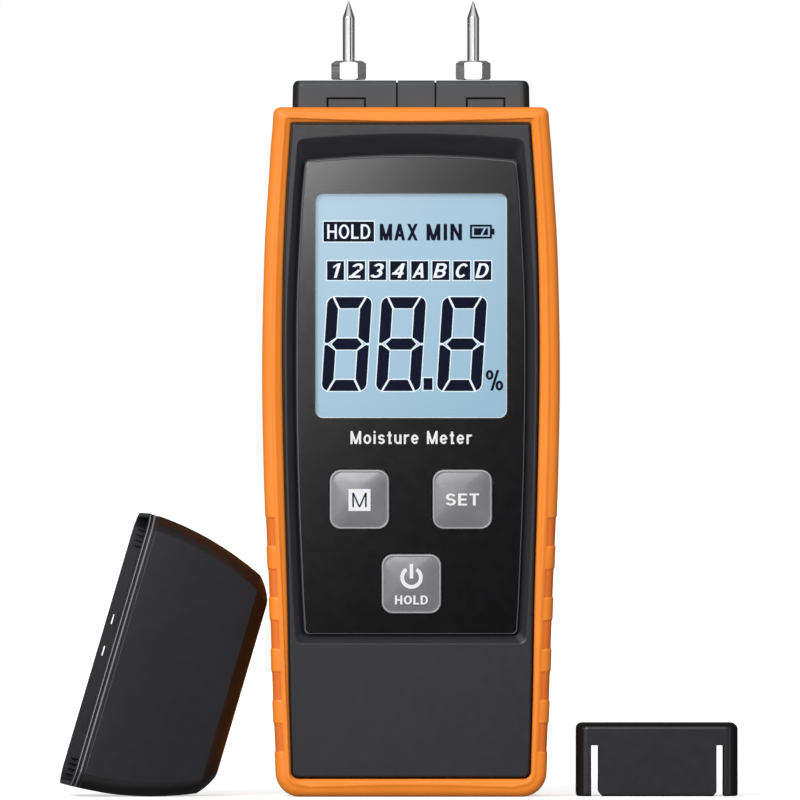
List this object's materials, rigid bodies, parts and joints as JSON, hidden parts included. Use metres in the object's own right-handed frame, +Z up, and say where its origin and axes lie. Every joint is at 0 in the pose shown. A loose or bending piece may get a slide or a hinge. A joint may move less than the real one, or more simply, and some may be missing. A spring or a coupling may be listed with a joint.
{
  "type": "moisture meter",
  "caption": "Handheld pin-type moisture meter with a display, keys and steel probe pins in a soft bumper, with a loose protective cap and a pin guard beside it.",
  "frame": {"origin": "centre of the bumper's flat base, where the meter stands", "axes": "+Z up along the meter to the probe pins, -Y the side with the display, +X to the right of a person who reads it"},
  "size_m": [0.1365, 0.0299, 0.1595],
  "materials": {
    "bumper_rubber": "satin, fine texture",
    "housing_plastic": "fine moulded texture",
    "panel_gloss": "gloss",
    "window_clear": "clear, polished",
    "lcd_glass": "pale blue display, satin",
    "diffuser_plastic": "translucent white",
    "frame_plastic": "moulded",
    "elastomer": "soft",
    "board": "solder mask, semi-gloss",
    "chip_plastic": "moulded",
    "can_metal": "satin",
    "key_plastic": "gloss",
    "block_plastic": "fine moulded texture",
    "bright_steel": "polished",
    "brass": "machined",
    "spring_steel": "plated",
    "screw_steel": "black oxide",
    "lead_red": "wire insulation",
    "lead_black": "wire insulation",
    "cell_wrap": "printed wrap, gloss",
    "foam": "open-cell foam",
    "label_paper": "blank silver-grey film",
    "cap_plastic": "fine moulded texture"
  },
  "bodies": {
    "case": {"bumper": "bumper_rubber", "front_housing": "housing_plastic", "rear_housing": "housing_plastic", "overlay_panel": "panel_gloss", "display_window": "window_clear", "lcd_glass": "lcd_glass", "backlight_diffuser": "diffuser_plastic", "backlight_led": "diffuser_plastic", "lcd_frame": "frame_plastic", "zebra_strip_lower": "elastomer", "zebra_strip_upper": "elastomer", "main_board": "board", "controller_chip": "chip_plastic", "crystal_can": "can_metal", "buzzer": "chip_plastic", "mode_switch": "chip_plastic", "set_switch": "chip_plastic", "power_switch": "chip_plastic", "terminal_block": "block_plastic", "probe_stud_left": "brass", "probe_stud_right": "brass", "probe_collar_left": "bright_steel", "probe_collar_right": "bright_steel", "probe_pin_left": "bright_steel", "probe_pin_right": "bright_steel", "sense_lead_left": "lead_black", "sense_lead_right": "lead_red", "battery_lead_black": "lead_black", "battery_lead_red": "lead_red", "battery_cell_1": "cell_wrap", "battery_cell_2": "cell_wrap", "battery_cell_3": "cell_wrap", "battery_spring_1": "spring_steel", "battery_spring_2": "spring_steel", "battery_spring_3": "spring_steel", "contact_plate_lower_single": "spring_steel", "contact_plate_lower_pair": "spring_steel", "contact_plate_upper_pair": "spring_steel", "contact_plate_upper_single": "spring_steel", "case_screw_upper_left": "screw_steel", "case_screw_upper_right": "screw_steel", "case_screw_lower_left": "screw_steel", "case_screw_lower_right": "screw_steel", "board_screw_left": "screw_steel", "board_screw_right": "screw_steel", "rear_label": "label_paper"},
    "battery_door": {"battery_door": "housing_plastic", "foam_pad": "foam"},
    "mode_key": {"mode_key": "key_plastic"},
    "set_key": {"set_key": "key_plastic"},
    "power_key": {"power_key": "key_plastic"},
    "cap": {"protective_cap": "cap_plastic"},
    "guard": {"pin_guard": "cap_plastic"}
  },
  "joints": [
    {"name": "battery_door_swing", "type": "hinge", "parent": "case", "child": "battery_door", "pos_m": [0, 0.0132, 0.0102], "axis": [-1, 0, 0], "range_deg": [0, 70]},
    {"name": "mode_key_press", "type": "slide", "parent": "case", "child": "mode_key", "axis": [0, 1, 0], "range_m": [0, 0.0006], "stiffness_N_per_m": 400},
    {"name": "set_key_press", "type": "slide", "parent": "case", "child": "set_key", "axis": [0, 1, 0], "range_m": [0, 0.0006], "stiffness_N_per_m": 400},
    {"name": "power_key_press", "type": "slide", "parent": "case", "child": "power_key", "axis": [0, 1, 0], "range_m": [0, 0.0006], "stiffness_N_per_m": 400},
    {"name": "cap_pull", "type": "slide", "parent": "case", "child": "cap", "axis": [-1, 0, 0], "range_m": [0, 0.06]},
    {"name": "guard_pull", "type": "slide", "parent": "case", "child": "guard", "axis": [1, 0, 0], "range_m": [0, 0.06]}
  ]
}
